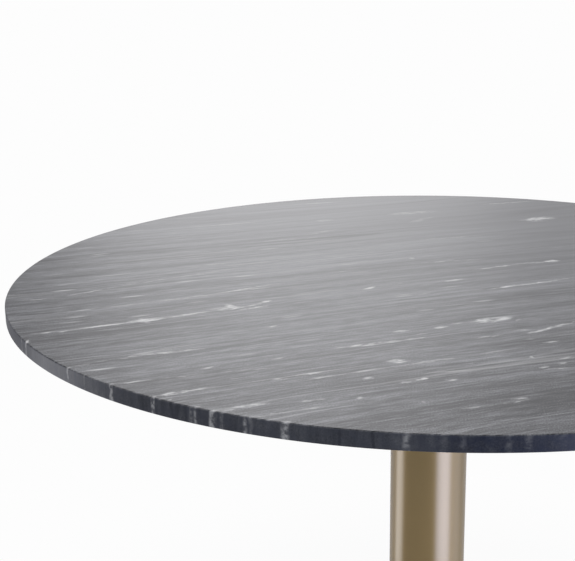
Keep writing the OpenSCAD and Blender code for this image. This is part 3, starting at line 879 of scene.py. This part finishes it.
class TABLE_OT_top_plate(bpy.types.Operator):
    """Makes the steel plate, its sleeve, its gussets and the weld beads that join them"""
    bl_idname = "table.top_plate"
    bl_label = "Top plate"

    def execute(self, context):
        metal = context.scene.table_metal
        finish_copy("plate", "top_plate", "black_powder_coat", sharp=50)
        finish_copy("plate_sleeve", "top_plate_sleeve", "black_powder_coat", sharp=40)
        bm = node_copy("top_plate_gussets")
        soften(bm, width=0.5 * MM, least=60)
        finish_piece("plate_gussets", bm, "black_powder_coat", "top_plate_gussets", sharp=40)

        # A bead lies in each corner between gusset, plate and sleeve, and others round the sleeve.
        # Those along a gusset start past its cut corner and stop a little short of its ends
        low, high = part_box("top_plate_gussets")
        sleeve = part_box("top_plate_sleeve")[1].x + 0.25 * MM
        gussets, half, cut, tip, foot = 8, 2.5 * MM, 7 * MM, 3 * MM, 2 * MM
        bm = bmesh.new()
        for side in (-half, half):
            bead(bm, (sleeve + cut, side, high.z), (high.x - tip, side, high.z), metal.weld)
            bead(bm, (sleeve, side, high.z - cut), (sleeve, side, low.z + foot), metal.weld)
        share = tau / gussets
        for a, b in ((-share / 2, 0.0), (0.0, share / 2)):
            bead(bm, (sleeve * cos(a), sleeve * sin(a), high.z),
                 (sleeve * cos(b), sleeve * sin(b), high.z), metal.weld)
        bmesh.ops.spin(bm, geom=bm.verts[:] + bm.edges[:] + bm.faces[:], axis=(0, 0, 1),
                       angle=tau - share, steps=gussets - 1, use_duplicate=True)
        finish_piece("plate_weld_beads", bm, "black_powder_coat", sharp=60)
        return {"FINISHED"}


class TABLE_OT_plate_fixings(bpy.types.Operator):
    """Makes the screws, washers and grub screws under the top"""
    bl_idname = "table.plate_fixings"
    bl_label = "Plate fixings"

    def execute(self, context):
        finish_copy("stone_screws", "top_plate_screws", "zinc_plated_steel")
        finish_copy("stone_screw_washers", "top_plate_washers", "zinc_plated_steel")
        finish_copy("grub_screws", "sleeve_grub_screws", "black_oxide_steel")
        finish_copy("weld_nut", "top_plate_weld_nut", "black_powder_coat")
        return {"FINISHED"}


class TABLE_OT_base_weight(bpy.types.Operator):
    """Makes the cast weight under the cover"""
    bl_idname = "table.base_weight"
    bl_label = "Base weight"

    def execute(self, context):
        finish_copy("cast_weight", "base_weight", "cast_iron")
        return {"FINISHED"}


class TABLE_OT_tie_rod(bpy.types.Operator):
    """Makes the tie rod with its threaded ends, and its nut and washers"""
    bl_idname = "table.tie_rod"
    bl_label = "Tie rod"

    def execute(self, context):
        low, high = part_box("tie_rod")
        r, pitch = high.x, context.scene.table_metal.rod_pitch
        # Each end is cut down to the thread's root over a length, and pointed
        depth, cut, point = THREAD_DEPTH * pitch, 22 * MM, 1.5 * MM
        root, lower, upper = r - depth, low.z + cut, high.z - cut
        outline = Outline(0, low.z).line(root - point, low.z).line(root, low.z + point)
        outline.line(root, lower).line(r, lower + depth).line(r, upper - depth)
        outline.line(root, upper).line(root, high.z - point).line(root - point, high.z)
        bm = outline.line(0, high.z).solid(steps=64)
        for a, b in ((low.z + point / 2, lower + pitch), (upper - pitch, high.z - point / 2)):
            merge_in(bm, thread(r, depth, pitch, a, b))
        finish_piece("tie_rod_threaded", bm, "zinc_plated_steel", "tie_rod", sharp=28)
        finish_copy("tie_rod_hex_nut", "tie_rod_nut", "zinc_plated_steel")
        finish_copy("tie_rod_flat_washer", "tie_rod_washer", "zinc_plated_steel")
        finish_copy("tie_rod_split_washer", "tie_rod_spring_washer", "black_oxide_steel")
        return {"FINISHED"}


class TABLE_OT_glides(bpy.types.Operator):
    """Makes the four levelling glides: threaded stud, moulded foot and felt"""
    bl_idname = "table.glides"
    bl_label = "Levelling glides"

    def execute(self, context):
        pitch = context.scene.table_metal.glide_pitch
        r, depth, point = 4.95 * MM, THREAD_DEPTH * pitch, 1 * MM
        root = r - depth
        for i in range(1, 5):
            node = f"glide_stud_{i}"
            low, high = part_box(node)
            hex_low, hex_high = low.z + 4.5 * MM, low.z + 9.9 * MM
            # The part gives the hexagon with its head below it, and the shank is threaded here
            bm = node_copy(node)
            bmesh.ops.bisect_plane(bm, geom=bm.verts[:] + bm.edges[:] + bm.faces[:], dist=1e-6,
                                   plane_co=(0, 0, hex_high + 0.2 * MM), plane_no=(0, 0, 1),
                                   clear_outer=True)
            bmesh.ops.holes_fill(bm, edges=[e for e in bm.edges if len(e.link_faces) == 1])
            outline = Outline(0, hex_low).line(root, hex_low).line(root, high.z - point)
            shank = outline.line(root - point, high.z).line(0, high.z).solid(steps=40)
            ridge = thread(r, depth, pitch, hex_high - 0.4 * MM, high.z - 0.6 * MM, steps=32)
            merge_in(shank, ridge)
            bmesh.ops.translate(shank, verts=shank.verts,
                                vec=((low.x + high.x) / 2, (low.y + high.y) / 2, 0))
            merge_in(bm, shank)
            finish_piece(f"levelling_stud_{i}", bm, "zinc_plated_steel", node, body=f"stud_{i}",
                         sharp=28)
            finish_copy(f"levelling_foot_{i}", f"glide_foot_{i}", "black_nylon", f"foot_{i}")
            finish_copy(f"levelling_felt_{i}", f"glide_felt_{i}", "wool_felt", f"foot_{i}", 50)
        return {"FINISHED"}


class TABLE_OT_inner_finishes(bpy.types.Operator):
    """Gives the pieces that keep their plain shape the finish of their slot"""
    bl_idname = "table.inner_finishes"
    bl_label = "Inner pieces"

    SLOTS = {"stone_inserts": "brass", "plate_gasket": "gasket_rubber",
             "column_foot_plug": "black_oxide_steel", "cover_felt_ring": "wool_felt",
             "glide_bushes": "zinc_plated_steel"}

    def execute(self, context):
        for node, slot in self.SLOTS.items():
            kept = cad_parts[node].data.materials
            kept.clear()
            kept.append(material(*FINISHES[slot]))
        return {"FINISHED"}


OPERATORS = (
    TABLE_OT_stage, TABLE_OT_stone_top, TABLE_OT_column, TABLE_OT_base_cover, TABLE_OT_top_plate,
    TABLE_OT_plate_fixings, TABLE_OT_base_weight, TABLE_OT_tie_rod, TABLE_OT_glides,
    TABLE_OT_inner_finishes)


class TABLE_PT_panel(bpy.types.Panel):
    """Lists the table's settings and pieces"""
    bl_idname = "TABLE_PT_panel"
    bl_label = "Pedestal table"
    bl_space_type = "VIEW_3D"
    bl_region_type = "UI"
    bl_category = "Table"

    def draw(self, context):
        scene = context.scene
        for group in (scene.table_stone, scene.table_metal, scene.table_studio):
            box = self.layout.box()
            for name in group.__annotations__:
                box.prop(group, name)
        for operator in OPERATORS:
            self.layout.operator(operator.bl_idname)


CLASSES = (TableStone, TableMetal, TableStudio, *OPERATORS, TABLE_PT_panel)


def register():
    for cls in CLASSES:
        bpy.utils.register_class(cls)
    bpy.types.Scene.table_stone = PointerProperty(type=TableStone)
    bpy.types.Scene.table_metal = PointerProperty(type=TableMetal)
    bpy.types.Scene.table_studio = PointerProperty(type=TableStudio)


def unregister():
    del bpy.types.Scene.table_stone, bpy.types.Scene.table_metal, bpy.types.Scene.table_studio
    for cls in reversed(CLASSES):
        bpy.utils.unregister_class(cls)


def main():
    register()
    for operator in OPERATORS:
        group, name = operator.bl_idname.split(".")
        getattr(getattr(bpy.ops, group), name)()


if __name__ == "__main__":
    main()
